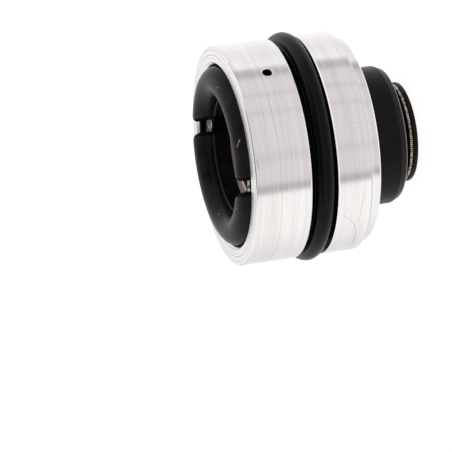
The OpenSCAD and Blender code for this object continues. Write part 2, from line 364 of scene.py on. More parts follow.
LAND_R, END_Z, RIM_Z = measured("housing")
minus_y = add(tree, "ShaderNodeMath", {0: axis["Y"], 1: -1.0}, operation="MULTIPLY")
angle = add(tree, "ShaderNodeMath", {0: axis["X"], 1: minus_y}, operation="ARCTAN2")
arc = add(tree, "ShaderNodeMath", {0: angle, 1: LAND_R}, operation="MULTIPLY")
unrolled = add(tree, "ShaderNodeCombineXYZ", {"X": arc, "Y": height})
scratch_lines = []
for angle_a, height_a, angle_b, height_b, width in SCRATCHES:
    start = (math.radians(angle_a) * LAND_R, height_a, 0)
    end = (math.radians(angle_b) * LAND_R, height_b, 0)
    scratch_lines.append((start, end, width))
metal = scored(tree, metal, colour("#77706C"), unrolled, scratch_lines, SCRATCH_DEPTH)
print(len(scratch_lines), "scratches")

# %% [markdown]
# ### Dark lines, painted highlights and a rubbed line
#
# Darker rings are drawn on the rim and at the reduced step, and two white lines at the step are painted
# highlights. The wide land has a faint brown line where it has rubbed in the tube.
# These rings are single and in known places, so each is a line by height or by radius and not
# a part of the noise.

# %% Draw the dark lines and the painted highlights
STAIN_Z = 33.75
STAIN_HALF_WIDTH = 0.16
STAIN_DEPTH = 0.22
# Where a line lies, its half width and its depth: by height on the step, by radius on the rim
STEP_LINES = ((14.38, 0.3, 0.35),)
# Two white lines at the step's edges are painted highlights
STEP_GLINTS = ((12.1, 0.25, 0.9), (13.7, 0.25, 0.9))
RIM_LINES = (
    (19.6, 0.14, 0.45), (20.4, 0.18, 0.22), (21.12, 0.18, 0.5), (22.1, 0.22, 0.24), (22.98, 0.13, 0.6))

stain = add(tree, "ShaderNodeMath", {
    0: height, 1: STAIN_Z, 2: STAIN_HALF_WIDTH}, operation="COMPARE")
metal = covered(tree, metal, colour("#C9B3A8"), [(stain, 0.0, 1.0)], STAIN_DEPTH)
outside = [(radius, LAND_R - 2.2, LAND_R - 2.0)]
rim_face = [(height, RIM_Z - 0.2, RIM_Z - 0.14)]
metal = lined(tree, metal, colour("#000000"), height, STEP_LINES, outside)
# The step's painted highlights: white lines
metal = lined(tree, metal, colour("#FFFFFF"), height, STEP_GLINTS, outside)
metal = lined(tree, metal, colour("#000000"), radius, RIM_LINES, rim_face)
print(len(STEP_LINES + STEP_GLINTS + RIM_LINES), "tool lines")

# %% [markdown]
# ### The bleed hole's finish
#
# A small hole is drilled through the wide land. Its chamfer is fresh and pale, and its inside is darkened
# with painted shade. The hole leans away from the axes, so its masks use the distance from the hole's own
# line, which is the length of a cross product.

# %% Finish the bleed hole
HOLE_ANGLE = 44
HOLE_Z = 32.12
HOLE_R = 0.95
CHANNEL_R = 14.5

hole_turn = math.radians(HOLE_ANGLE)
hole_way = Vector((math.sin(hole_turn), -math.cos(hole_turn), 0))
lowered = add(tree, "ShaderNodeVectorMath", {0: place, 1: (0, 0, HOLE_Z)}, operation="SUBTRACT")
aside = add(tree, "ShaderNodeVectorMath", {0: lowered, 1: hole_way}, operation="CROSS_PRODUCT")
from_hole = add(tree, "ShaderNodeVectorMath", {0: aside}, operation="LENGTH")
outward = add(tree, "ShaderNodeVectorMath", {0: lowered, 1: hole_way}, operation="DOT_PRODUCT")
chamfer = [
    (from_hole, HOLE_R + 0.03, HOLE_R + 0.08),
    (from_hole, HOLE_R + 0.33, HOLE_R + 0.23),
    (outward, LAND_R - 1.0, LAND_R - 0.5)]
metal = covered(tree, metal, colour("#FFFFFF"), chamfer)
# Painted shade: the hole's wall is near black down to the channel
metal = covered(tree, metal, colour("#0B0A09"), [
    (from_hole, HOLE_R + 0.08, HOLE_R + 0.03),
    (outward, CHANNEL_R - 2.0, CHANNEL_R - 1.5)])
print("bleed hole at %.0f degrees, %.2f mm up" % (HOLE_ANGLE, HOLE_Z))

# %% [markdown]
# ### Oil and shade
#
# Painted shade darkens the metal in the groove under its O-ring, where it also stands for the O-ring's
# dark reflection, in the narrow gap beside the bumper and in the channel inside. The hub's face is dull
# and brown with oil. Real oil would be a clear film, but at this size only its tone shows, so it is a
# cover.

# %% Paint shade into the groove, the gap and the channel, and stain the hub
GROOVE_LOW = END_Z + 9.65
GROOVE_HIGH = END_Z + 15.25
PLATE_R, PLATE_BOTTOM, PLATE_TOP = measured("bumper_plate")
BUSH_R, BUSH_BOTTOM, BUSH_TOP = measured("guide_bush")
HUB_Z = BUSH_TOP + 0.2
HUB_R = 12.2
GROOVE_SHADE = 0.9

# Painted shade in the groove, with the O-ring's dark reflection painted in
metal = covered(tree, metal, colour("#26231F"), [
    (height, GROOVE_LOW - 0.05, GROOVE_LOW + 0.03), (height, GROOVE_HIGH + 0.05, GROOVE_HIGH - 0.03),
    (radius, LAND_R - 0.05, LAND_R - 0.2)], GROOVE_SHADE)
# Painted shade on the counterbore wall, in the narrow gap beside the bumper
metal = covered(tree, metal, colour("#090909"), [
    (radius, PLATE_R + 0.12, PLATE_R + 0.06), (height, HUB_Z + 2.0, HUB_Z + 2.1)])
# Painted shade in the deep channel inside
metal = covered(tree, metal, colour("#0B0A09"), [
    (radius, HUB_R - 0.2, HUB_R - 0.05), (radius, CHANNEL_R + 0.2, CHANNEL_R + 0.1),
    (height, HUB_Z - 0.2, HUB_Z - 0.4)])
hub_face = [
    (height, HUB_Z - 0.25, HUB_Z - 0.15), (height, HUB_Z + 0.3, HUB_Z + 0.1),
    (radius, HUB_R + 0.4, HUB_R + 0.1)]
metal = covered(tree, metal, colour("#B5A39B"), hub_face)
tree.links.new(metal, shader.inputs["Base Color"])
print("groove from %.2f to %.2f mm" % (GROOVE_LOW, GROOVE_HIGH))

# %% [markdown]
# ### Shine
#
# The rings make the metal a little rougher in places. The chamfer, the hub's face and the rim
# are duller than the lands. Anisotropy needs a direction: it is taken around the Z axis, the
# way the part turned in the lathe.

# %% Set the aluminium's shine
dull = add(tree, "ShaderNodeMapRange", {
    "Value": rings, "From Min": 0.3, "From Max": 0.7, "To Min": 0.15, "To Max": 0.22})
for limits, more in ((chamfer, 0.35), (hub_face, 0.45), (rim_face, 0.07)):
    duller = inside(tree, limits, more)
    dull = add(tree, "ShaderNodeMath", {0: dull, 1: duller}, operation="ADD")
tree.links.new(dull, shader.inputs["Roughness"])
tangent = add(tree, "ShaderNodeCombineXYZ", {"X": minus_y, "Y": axis["X"]})
tangent = add(tree, "ShaderNodeVectorMath", {0: tangent}, operation="NORMALIZE")
tree.links.new(tangent, shader.inputs["Tangent"])
print(aluminium.name, "has", len(tree.nodes), "nodes")

# %% [markdown]
# ## Moulded rubber
#
# The O-ring, the bumper and the two seals are nitrile rubber, black with carbon, and come out
# of a mould with a satin skin. Such rubber reflects little, has a soft sheen at its edges and
# draws dust. One dark colour would look like plastic, so one function makes the four blacks
# from a fine grain for the skin, slow cloudiness for the bloom on it, and a few pale specks of
# dust, each one the middle of a random cell.

# %% Make the rubbers
# The real grain is finer than a pixel, so it is drawn this wide in millimetres, to show
SKIN_GRAIN = 0.35
SKIN_DEPTH = 0.02
BLOOM_SIZE = 5.0
SPECK_SPACING = 2.6
SPECK_SIZE = 0.15
SATIN_SPREAD = 0.06


def moulded_rubber(name, dark, pale, roughness, gloss, dust):
    """Black rubber between two tones, with a speck of dust in a share of its cells."""
    made, tree, shader = new_material(name, Specular_IOR_Level=gloss, IOR=1.52)
    place, _ = in_millimetres(tree)
    bloom = add(tree, "ShaderNodeTexNoise", {"Vector": place, "Scale": 1 / BLOOM_SIZE, "Detail": 4.0})
    skin = add(tree, "ShaderNodeTexNoise", {"Vector": place, "Scale": 1 / SKIN_GRAIN, "Detail": 2.0})
    both = add(tree, "ShaderNodeMath", {0: bloom, 1: skin}, operation="ADD")
    black = toned(tree, both, 0.75, 1.25, dark, pale)
    cells = add(tree, "ShaderNodeTexVoronoi", {"Vector": place, "Scale": 1 / SPECK_SPACING}).node.outputs
    speck = add(tree, "ShaderNodeMapRange", {
        "Value": cells["Distance"], "From Min": SPECK_SIZE / SPECK_SPACING, "From Max": 0.0})
    chance = add(tree, "ShaderNodeSeparateColor", {"Color": cells["Color"]}).node.outputs["Red"]
    chosen = add(tree, "ShaderNodeMath", {0: chance, 1: dust}, operation="LESS_THAN")
    speck = add(tree, "ShaderNodeMath", {0: speck, 1: chosen}, operation="MULTIPLY")
    dusty = add(tree, "ShaderNodeMix", {
        "Factor": speck, 6: black, 7: colour("#8C8780")}, data_type="RGBA")
    satin = add(tree, "ShaderNodeMapRange", {
        "Value": bloom, "From Min": 0.3, "From Max": 0.7,
        "To Min": roughness - SATIN_SPREAD, "To Max": roughness + SATIN_SPREAD})
    bump = add(tree, "ShaderNodeBump", {"Height": skin, "Strength": 0.25, "Distance": SKIN_DEPTH * MM})
    for socket, link in (("Base Color", dusty), ("Roughness", satin), ("Normal", bump)):
        tree.links.new(link, shader.inputs[socket])
    return made


# A polished mould gives the O-ring a deep black and a narrow highlight
o_ring_rubber = moulded_rubber(
    "smooth_nitrile_rubber", "#050506", "#09090A", roughness=0.3, gloss=0.1, dust=0.12)
# The bumper is a greyer, matt black that catches dust
bumper_rubber = moulded_rubber(
    "moulded_bumper_rubber", "#0F0E0E", "#231F20", roughness=0.27, gloss=0.05, dust=0.4)
# The dust seal is black with a soft satin sheen
seal_rubber = moulded_rubber(
    "moulded_seal_rubber", "#060507", "#100E11", roughness=0.34, gloss=0.12, dust=0.3)
# Oil turns the inner seal brownish and wet, with no dust on it
oil_rubber = moulded_rubber(
    "oiled_seal_rubber", "#17120F", "#241C17", roughness=0.35, gloss=0.3, dust=0.0)
print("rubbers:", o_ring_rubber.name, bumper_rubber.name, seal_rubber.name, oil_rubber.name)

# %% [markdown]
# ### Painted edge highlights, lint and shaded notches
#
# A pale line along the bumper's inner edge and another along the dust seal's shoulder are painted
# highlights. Such an edge is a circle about the axis, so its mask is the distance from one point of the
# piece's section. The bumper also has bits of lint on it, drawn as short marks, and its notches are
# darker, with painted shade, and duller than the crown.

# %% Paint highlights along the edges
def paint_edge_highlight(rubber, reach, level, width, code):
    """Paints a highlight on a rubber along a round edge, given by its radius and height."""
    tree = rubber.node_tree
    skin = tree.nodes["Principled BSDF"].inputs["Base Color"]
    place, axis = in_millimetres(tree)
    section = add(tree, "ShaderNodeCombineXYZ", {"X": from_axis(tree, place), "Y": axis["Z"]})
    away = add(tree, "ShaderNodeVectorMath", {0: section, 1: (reach, level, 0)}, operation="DISTANCE")
    highlit = covered(tree, skin.links[0].from_socket, colour(code), [(away, width, width / 2)])
    tree.links.new(highlit, skin)
    print(rubber.name, "is worn at a radius of", reach, "mm")


# Painted highlights: pale lines along the bumper's inner edge and the dust seal's shoulder
paint_edge_highlight(bumper_rubber, reach=11.9, level=37.65, width=0.24, code="#383434")
paint_edge_highlight(seal_rubber, reach=13.7, level=3.6, width=0.32, code="#7E7A7D")

# %% Lay lint on the bumper and paint shade into its notches
NOTCH_WIDTH = 2.4
NOTCH_OFFSET = 6.5
NOTCH_DULLNESS = 0.5
# Where a bit of lint starts, where it ends, and its width
LINT = (
    ((2.94, -17.79, 40.18), (1.74, -17.2, 40.71), 0.12),
    ((2.99, -17.8, 40.15), (2.84, -17.74, 40.26), 0.2),
    ((14.2, -9.1, 40.9), (14.2, -9.0, 40.9), 0.2),
    ((-10.8, -12.1, 41.06), (-10.9, -12.1, 41.06), 0.16),
    ((-12.0, 5.8, 40.4), (-12.0, 5.7, 40.4), 0.18),
    ((-15.8, 1.6, 41.1), (-15.8, 1.5, 41.1), 0.16))

tree = bumper_rubber.node_tree
shader = tree.nodes["Principled BSDF"]
skin = shader.inputs["Base Color"].links[0].from_socket
satin = shader.inputs["Roughness"].links[0].from_socket
place, axis = in_millimetres(tree)
beside = apart(tree, apart(tree, axis["X"], 0.0), NOTCH_OFFSET)
quarter = add(tree, "ShaderNodeMath", {0: axis["X"], 1: axis["Y"]}, operation="MULTIPLY")
notch = [(beside, NOTCH_WIDTH / 2 + 0.9, NOTCH_WIDTH / 2 + 0.6), (quarter, -1.0, 1.0)]
skin = scored(tree, skin, colour("#B9B4B0"), place, LINT)
# Painted shade: the notches are darkened near black
skin = covered(tree, skin, colour("#050505"), notch)
duller = inside(tree, notch, NOTCH_DULLNESS)
satin = add(tree, "ShaderNodeMath", {0: satin, 1: duller}, operation="ADD")
tree.links.new(skin, shader.inputs["Base Color"])
tree.links.new(satin, shader.inputs["Roughness"])
print(len(LINT), "bits of lint on", bumper_rubber.name)

# %% [markdown]
# ## The small metals
#
# The bumper's plate is stamped steel, and thin black flash from the mould has crept over it in blotches;
# the same black at its outer edge, seen only in the gap beside the bumper, is painted shade. The bush is
# a steel strip with a tan bearing lining. The garter springs are drawn wire that oil has stained, and the
# dark lines on their flanks, where they lie against the rubber, are painted shade. One shared function
# could make all three, but they differ in what lies on them, so each has its own short list of nodes.

# %% Make the plate's steel
BLOTCH_SIZE = 0.9

# Stamped steel is a satin grey; the black flash on it is matt, and its outer edge gets the same black as
# painted shade
steel, tree, shader = new_material("stamped_plate_steel", Metallic=1.0)
place, _ = in_millimetres(tree)
blotches = add(tree, "ShaderNodeTexNoise", {
    "Vector": place, "Scale": 1 / BLOTCH_SIZE, "Detail": 3.0, "Roughness": 0.6})
flash_and_gap_shade = inside(tree, [(blotches, 0.46, 0.53)])
# Painted shade: the plate's outer edge, seen only in the gap beside the bumper, gets the flash's black
gap_shade = inside(tree, [(from_axis(tree, place), PLATE_R - 1.0, PLATE_R - 0.6)])
flash_and_gap_shade = add(tree, "ShaderNodeMath", {0: flash_and_gap_shade, 1: gap_shade}, operation="MAXIMUM")
face = toned(tree, flash_and_gap_shade, 0.0, 1.0, "#B4B0AB", "#0E0E0E")
tree.links.new(face, shader.inputs["Base Color"])
satin = add(tree, "ShaderNodeMapRange", {"Value": flash_and_gap_shade, "To Min": 0.32, "To Max": 0.6})
tree.links.new(satin, shader.inputs["Roughness"])
print(steel.name, "with blotches of", BLOTCH_SIZE, "mm")

# %% Make the bush's lining and the springs' wire
LINING_GRAIN = 0.35
WIRE_STAIN = 0.8
FLANK_SHADE_WIDTH = 0.4
FLANK_SHADE_DEPTH = 0.95

# A sintered lining is a dull tan with a metal glint in its grain
lining, tree, shader = new_material("tan_bearing_lining", Metallic=0.6, Roughness=0.42)
place, _ = in_millimetres(tree)
grain = add(tree, "ShaderNodeTexNoise", {"Vector": place, "Scale": 1 / LINING_GRAIN, "Detail": 3.0})
tan = toned(tree, grain, 0.0, 1.0, "#2E251B", "#5E4E3A")
tree.links.new(tan, shader.inputs["Base Color"])

# Drawn wire is bright, and the oil on it gives it a beige stain
wire, tree, shader = new_material("stained_spring_wire", Metallic=1.0, Roughness=0.35)
place, axis = in_millimetres(tree)
film = add(tree, "ShaderNodeTexNoise", {"Vector": place, "Scale": 1 / WIRE_STAIN, "Detail": 2.0})
beige = toned(tree, film, 0.35, 0.6, "#6E5F4E", "#E4D9C8")
# Painted shade: dark lines at the coil's top and bottom, where it lies against the rubber
shaded_flanks = [(level, FLANK_SHADE_WIDTH, FLANK_SHADE_DEPTH) for level in measured("dust_seal_spring")[1:]]
beige = lined(tree, beige, colour("#0A0908"), axis["Z"], shaded_flanks)
tree.links.new(beige, shader.inputs["Base Color"])
print("metals:", lining.name, wire.name)

# %% [markdown]
# ## A lathe made of nodes
#
# Most pieces here are bodies of revolution: on the real part a lathe or a round mould made
# them. The Screw modifier or bmesh's spin could sweep an outline around the axis too, but a
# Geometry Nodes tree has its sizes as named inputs and closes its own seam. The tree takes a
# closed outline, makes a curve of it, and carries it around a circle.

# %% Build the lathe
def new_tree(name, inputs):
    """An empty Geometry Nodes tree with its geometry input and output and some named inputs."""
    tree = bpy.data.node_groups.new(name, "GeometryNodeTree")
    tree.interface.new_socket("Outline", in_out="INPUT", socket_type="NodeSocketGeometry")
    for label, kind in inputs.items():
        tree.interface.new_socket(label, in_out="INPUT", socket_type=kind)
    tree.interface.new_socket("Piece", in_out="OUTPUT", socket_type="NodeSocketGeometry")
    return tree, add(tree, "NodeGroupInput").node.outputs


def end_tree(tree, mesh, finish):
    """Ends a tree in Realize Instances and Set Material."""
    real = add(tree, "GeometryNodeRealizeInstances", {"Geometry": mesh})
    dressed = add(tree, "GeometryNodeSetMaterial", {"Geometry": real, "Material": finish})
    add(tree, "NodeGroupOutput", {"Piece": dressed})
    print(tree.name, "tree with", len(tree.nodes), "nodes")


lathe, given = new_tree("lathe", {
    "Turn Radius": "NodeSocketFloat", "Segments": "NodeSocketInt", "Finish": "NodeSocketMaterial"})
section = add(lathe, "GeometryNodeMeshToCurve", {"Mesh": given["Outline"]})
circle = add(lathe, "GeometryNodeCurvePrimitiveCircle", {
    "Resolution": given["Segments"], "Radius": given["Turn Radius"]})
circle = add(lathe, "GeometryNodeSetCurveNormal", {"Curve": circle}, mode="Z_UP")
swept = add(lathe, "GeometryNodeCurveToMesh", {"Curve": circle, "Profile Curve": section})
end_tree(lathe, swept, given["Finish"])

# %% [markdown]
# ## From a tree to a plain mesh
#
# A modifier's result has to become a plain mesh before the piece is seated. Applying the
# modifier with an operator would work, but operators depend on what is selected. The evaluated
# object gives the same mesh directly. It then gets its doubles merged, its faces turned
# outwards, and smooth shading that stops at sharp edges.

# %% Define how a piece is baked
SHARP_ANGLE = math.radians(32)
MERGE_DISTANCE = 1e-7


def baked(source, name):
    """A plain mesh object of what a source object's modifiers make. The source is removed."""
    scene.collection.objects.link(source)
    seen = source.evaluated_get(bpy.context.evaluated_depsgraph_get())
    mesh = bpy.data.meshes.new_from_object(seen)
    bpy.data.objects.remove(source)
    mesh.name = name
    work = bmesh.new()
    work.from_mesh(mesh)
    bmesh.ops.remove_doubles(work, verts=work.verts, dist=MERGE_DISTANCE)
    bmesh.ops.recalc_face_normals(work, faces=work.faces)
    work.to_mesh(mesh)
    work.free()
    mesh.shade_smooth()
    mesh.set_sharp_from_angle(angle=SHARP_ANGLE)
    made = bpy.data.objects.new(name, mesh)
    scene.collection.objects.link(made)
    return made


def grown(name, mesh, tree, values):
    """A piece made by a tree from a mesh, with the tree's inputs set by their identifiers."""
    source = bpy.data.objects.new(name + "_source", mesh)
    modifier = source.modifiers.new("nodes", "NODES")
    modifier.node_group = tree
    for item in tree.interface.items_tree:
        if item.name in values:
            modifier[item.identifier] = values[item.name]
    return baked(source, name)


def fitted(piece, node):
    """Seats a finished piece: it rides on the body, and the solid it stands for is hidden."""
    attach(piece, "root")
    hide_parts(node)
    print(piece.name, "stands for", node, "with", len(piece.data.polygons), "faces")


print("edges sharper than %.0f degrees stay sharp" % math.degrees(SHARP_ANGLE))

# %% [markdown]
# ## Outlines
#
# An outline is a list of corners in millimetres, (radius, height, rounding), because real
# edges are never sharp. A Bevel modifier could round the finished mesh, but it treats every
# edge alike. Here each corner has its own rounding, drawn as a small arc.

# %% Define outlines and turning
TURN_R = 12.0
CORNER_STEPS = 5


def rounded(corners):
    """A closed outline through (radius, height, rounding) corners, with an arc at each rounding."""
    path = []
    for i, (reach, level, rounding) in enumerate(corners):
        here = Vector((reach, level))
        back = (Vector(corners[i - 1][:2]) - here).normalized()
        ahead = (Vector(corners[(i + 1) % len(corners)][:2]) - here).normalized()
        if rounding == 0:
            path.append(here)
            continue
        half = back.angle(ahead) / 2
        centre = here + (back + ahead).normalized() * rounding / math.sin(half)
        start = (here + back * rounding / math.tan(half) - centre).normalized()
        end = (here + ahead * rounding / math.tan(half) - centre).normalized()
        for step in range(CORNER_STEPS + 1):
            path.append(centre + start.slerp(end, step / CORNER_STEPS) * rounding)
    return path


def turned(name, path, finish, segments=256):
    """A piece turned from a closed path of (radius, height) points in millimetres."""
    mesh = bpy.data.meshes.new(name + "_outline")
    points = [((reach - TURN_R) * MM, -level * MM, 0) for reach, level in path]
    edges = [(i, (i + 1) % len(points)) for i in range(len(points))]
    mesh.from_pydata(points, edges, [])
    values = {"Turn Radius": TURN_R * MM, "Segments": segments, "Finish": finish}
    return grown(name, mesh, lathe, values)


print("each rounding has", CORNER_STEPS, "steps")

# %% [markdown]
# ## The housing
#
# The housing is one turned ring. From the outside it shows two lands that fit the damper tube,
# a groove between them, a reduced step at its lower end, and a flat rim with a counterbore.
# Inside are the hub for the bush and the pockets of the two seals. It could be joined from
# several rings, but all of it is one outline, as it was turned from one bar, with a small
# rounding where the real tool left a broken edge. Those narrow roundings catch the light and
# draw the thin white lines beside the groove.

# %% Turn the housing
EDGE = 0.3
RIM_EDGE = 0.15
RIM_BEVEL = 0.1
RIM_FLAT = 2.15
LEAD_IN = 0.5
BUSH_LEAD_IN = 0.4
GROOVE_EDGE = 0.1
BROKEN = 0.04
SEAT_GAP = 0.02
STEP_Z = END_Z + 2.25
STEP_R = LAND_R - 1.45
GROOVE_R = LAND_R - 3.1
CHANNEL_FLOOR = HUB_Z - 3.6
WALL_R = 8.6
OIL_R, OIL_BOTTOM, OIL_TOP = measured("oil_seal")
DUST_R, _, DUST_TOP = measured("dust_seal")

bore_r = PLATE_R + SEAT_GAP
bush_r = BUSH_R + SEAT_GAP
oil_r = OIL_R + SEAT_GAP
seal_r = DUST_R + SEAT_GAP
bevel_z = RIM_Z - RIM_BEVEL

housing = turned("seal_head_housing", rounded([
    (seal_r + EDGE, END_Z, BROKEN), (STEP_R - EDGE, END_Z, BROKEN),
    (STEP_R, END_Z + EDGE, BROKEN), (STEP_R, STEP_Z, 0.1),
    (LAND_R - EDGE, STEP_Z, BROKEN), (LAND_R, STEP_Z + EDGE, BROKEN),
    (LAND_R, GROOVE_LOW - EDGE, BROKEN), (LAND_R - GROOVE_EDGE, GROOVE_LOW, BROKEN),
    (GROOVE_R, GROOVE_LOW, 0.2), (GROOVE_R, GROOVE_HIGH, 0.2),
    (LAND_R - GROOVE_EDGE, GROOVE_HIGH, BROKEN), (LAND_R, GROOVE_HIGH + EDGE, BROKEN),
    (LAND_R, bevel_z - RIM_EDGE, BROKEN), (LAND_R - RIM_EDGE, bevel_z, BROKEN),
    (bore_r + RIM_FLAT, RIM_Z, 0), (bore_r + LEAD_IN, RIM_Z, BROKEN),
    (bore_r, RIM_Z - LEAD_IN, BROKEN), (bore_r, PLATE_BOTTOM, 0),
    (CHANNEL_R, PLATE_BOTTOM, BROKEN), (CHANNEL_R, CHANNEL_FLOOR, 0.3),
    (HUB_R, CHANNEL_FLOOR, 0.3), (HUB_R, HUB_Z, 0.1),
    (bush_r + BUSH_LEAD_IN, HUB_Z, BROKEN), (bush_r, HUB_Z - BUSH_LEAD_IN, BROKEN),
    (bush_r, BUSH_BOTTOM, 0), (WALL_R, BUSH_BOTTOM, BROKEN), (WALL_R, OIL_TOP, BROKEN),
    (oil_r, OIL_TOP, 0), (oil_r, OIL_BOTTOM, BROKEN),
    (seal_r, OIL_BOTTOM, 0), (seal_r, END_Z + EDGE, BROKEN),
]), aluminium, segments=384)
print(housing.name, "is %.1f mm across its lands" % (2 * LAND_R))

# %% [markdown]
# ## The bleed hole
#
# A small hole is drilled through the wide land into the oil channel, so that trapped air can
# leave, and its mouth is chamfered. It could be drawn in the material, but from a slant the
# chamfer shows as a bright ring and the hole as a dark pit, so it is really drilled: a cutter
# in the shape of a countersink drill is taken away with a Boolean.

# %% Define how a piece is cut
def cut(piece, cutter):
    """Takes a cutter away from a piece with an exact Boolean. The cutter is a bmesh, used up here."""
    bmesh.ops.recalc_face_normals(cutter, faces=cutter.faces)
    mesh = bpy.data.meshes.new("cutter")
    cutter.to_mesh(mesh)
    cutter.free()
    tool = bpy.data.objects.new("cutter", mesh)
    scene.collection.objects.link(tool)
    source = bpy.data.objects.new("uncut", piece.data)
    boolean = source.modifiers.new("cut", "BOOLEAN")
    boolean.operation = "DIFFERENCE"
    boolean.solver = "EXACT"
    boolean.object = tool
    name = piece.name
    bpy.data.objects.remove(piece)
    made = baked(source, name)
    bpy.data.objects.remove(tool)
    return made


def lofted(loops):
    """A closed bmesh through loops of points, which all have as many points."""
    work = bmesh.new()
    rows = [[work.verts.new(point) for point in loop] for loop in loops]
    for near, far in zip(rows, rows[1:]):
        for i in range(len(near)):
            after = (i + 1) % len(near)
            work.faces.new((near[i], near[after], far[after], far[i]))
    work.faces.new(rows[0])
    work.faces.new(rows[-1])
    return work


print("cutters are closed meshes, taken away by a Boolean")

# %% Drill the bleed hole
HOLE_CHAMFER = 0.25
DRILL_SIDES = 48
DRILL_OVERRUN = 1.2


def drill_loop(reach, drill_radius):
    """A circle of the drill at a distance from the part's axis."""
    loop = []
    for side in range(DRILL_SIDES):
        turn_by = 2 * math.pi * side / DRILL_SIDES
        level = HOLE_Z + drill_radius * math.sin(turn_by)
        point = Vector((reach, drill_radius * math.cos(turn_by), level)) * MM
        loop.append(Matrix.Rotation(math.radians(HOLE_ANGLE - 90), 3, "Z") @ point)
    return loop


housing = cut(housing, lofted([
    drill_loop(CHANNEL_R - DRILL_OVERRUN, HOLE_R),
    drill_loop(LAND_R - HOLE_CHAMFER, HOLE_R),
    drill_loop(LAND_R + HOLE_CHAMFER, HOLE_R + 2 * HOLE_CHAMFER)]))
fitted(housing, "housing")

# %% [markdown]
# ## The O-ring
#
# A plain O-ring sits in the groove and stands a little proud of the lands, so that it is
# squeezed in the tube. Until then it lies loosely, a little askew. A torus primitive would do,
# but the lathe gives it the same way as the rest: its outline is a circle. The turned mesh is
# then tipped about the Y axis, as the solid is.

# %% Turn the O-ring
CIRCLE_STEPS = 48
RING_HALF = 2.0
RING_LIFT = 0.75

ring_low, ring_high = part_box("outer_o_ring")
ring_r = ring_high[1] / MM - RING_HALF
ring_middle = (ring_low[2] + ring_high[2]) / 2
ring_path = []
for step in range(CIRCLE_STEPS):
    turn_by = 2 * math.pi * step / CIRCLE_STEPS
    ring_path.append((ring_r + RING_HALF * math.cos(turn_by), RING_HALF * math.sin(turn_by)))
o_ring = turned("o_ring", ring_path, o_ring_rubber)
askew = Matrix.Rotation(math.atan(RING_LIFT / 2 / ring_r), 4, "Y")
o_ring.data.transform(Matrix.Translation((0, 0, ring_middle)) @ askew)
fitted(o_ring, "outer_o_ring")

# %% [markdown]
# ## The rebound bumper
#
# When the damper is fully stretched, its piston lands on this rubber ring. Its crown is round
# on top, steeper inside than outside, and a skirt lines the hole below the steel plate. Two
# notches let the oil out from under the piston. The ring is turned first, with the crown as
# two quarters of an ellipse. A torus would be too round, and too alike on both sides.

# %% Turn the bumper
CROWN_STEPS = 20
SHOULDER = 0.55
BEAD = 0.2
SKIRT_GAP = 0.3
BUMPER_HOLE = 12.1
PLATE_HOLE = 12.6

bumper_r, skirt_z, crown_z = measured("rebound_bumper")
skirt_r = CHANNEL_R - SKIRT_GAP
sleeve_r = PLATE_HOLE - SEAT_GAP
crown_r = (BUMPER_HOLE + bumper_r) / 2
shoulder_z = RIM_Z - SHOULDER

section = [
    (BUMPER_HOLE, skirt_z), (skirt_r, skirt_z), (skirt_r, PLATE_BOTTOM), (sleeve_r, PLATE_BOTTOM),
    (sleeve_r, PLATE_TOP), (bumper_r, PLATE_TOP)]
for step in range(CROWN_STEPS + 1):
    turn_by = math.pi / 2 * step / CROWN_STEPS
    section.append((
        crown_r + (bumper_r - crown_r) * math.cos(turn_by),
        shoulder_z + (crown_z - shoulder_z) * math.sin(turn_by)))
for step in range(1, CROWN_STEPS + 1):
    turn_by = math.pi / 2 * step / CROWN_STEPS
    section.append((
        crown_r - (crown_r - BUMPER_HOLE) * math.sin(turn_by),
        PLATE_TOP + (crown_z - PLATE_TOP) * math.cos(turn_by)))
section += [
    (BUMPER_HOLE - BEAD, PLATE_TOP - BEAD), (BUMPER_HOLE - BEAD, PLATE_TOP - 2 * BEAD),
    (BUMPER_HOLE, PLATE_TOP - 3 * BEAD)]
bumper = turned("rebound_bumper_rubber", section, bumper_rubber, segments=512)
print(bumper.name, "is turned from", len(section), "points")

# %% [markdown]
# ### The bumper's notches
#
# Each notch runs straight beside the axis, and the crown rolls down into it. A bevel would
# round the cut edges too, but it breaks where they meet the thin web outside. So the crown's
# points near a notch sink first, as a round edge falls away, and then the notches are cut with
# a Boolean, as the mould's cores do. A shallow second cut lowers the web at the rim.

# %% Roll the crown into its notches
NOTCH_ROUND = 1.4
ROLL_FADE = 1.2
FOOT_MARGIN = 0.05

moves = []
for vertex in bumper.data.vertices:
    spot = vertex.co / MM
    foot = shoulder_z if math.hypot(spot.x, spot.y) > crown_r else PLATE_TOP
    beside = abs(abs(spot.x) - NOTCH_OFFSET) - NOTCH_WIDTH / 2
    if spot.z < foot + FOOT_MARGIN or spot.x * spot.y < 0 or beside > NOTCH_ROUND:
        continue
    sunk = NOTCH_ROUND - max(beside, 0)
    drop = NOTCH_ROUND - math.sqrt(NOTCH_ROUND ** 2 - sunk ** 2)
    moves.append((vertex, vertex.normal * drop * min(1, (spot.z - foot) / ROLL_FADE) * MM))
for vertex, move in moves:
    vertex.co -= move
print(len(moves), "points of the crown roll into its notches")

# %% Cut the notches
WEB = 1.15
WEB_DEPTH = 0.35
PLATE_MARGIN = 0.001
CUTTER_RISE = 1


def notch_cutter(bottom_z, reach, turn_by):
    """A straight notch beside the axis, from the middle out to a radius."""
    turn_matrix = Matrix.Rotation(turn_by, 3, "Z")
    near_x = NOTCH_OFFSET - NOTCH_WIDTH / 2
    far_x = NOTCH_OFFSET + NOTCH_WIDTH / 2
    top_z = crown_z + CUTTER_RISE
    inner = []
    outer = []
    for x, z in ((near_x, bottom_z), (far_x, bottom_z), (far_x, top_z), (near_x, top_z)):
        inner.append(turn_matrix @ Vector((x, 0, z)) * MM)
        outer.append(turn_matrix @ Vector((x, math.sqrt(reach * reach - x * x), z)) * MM)
    return lofted([inner, outer])


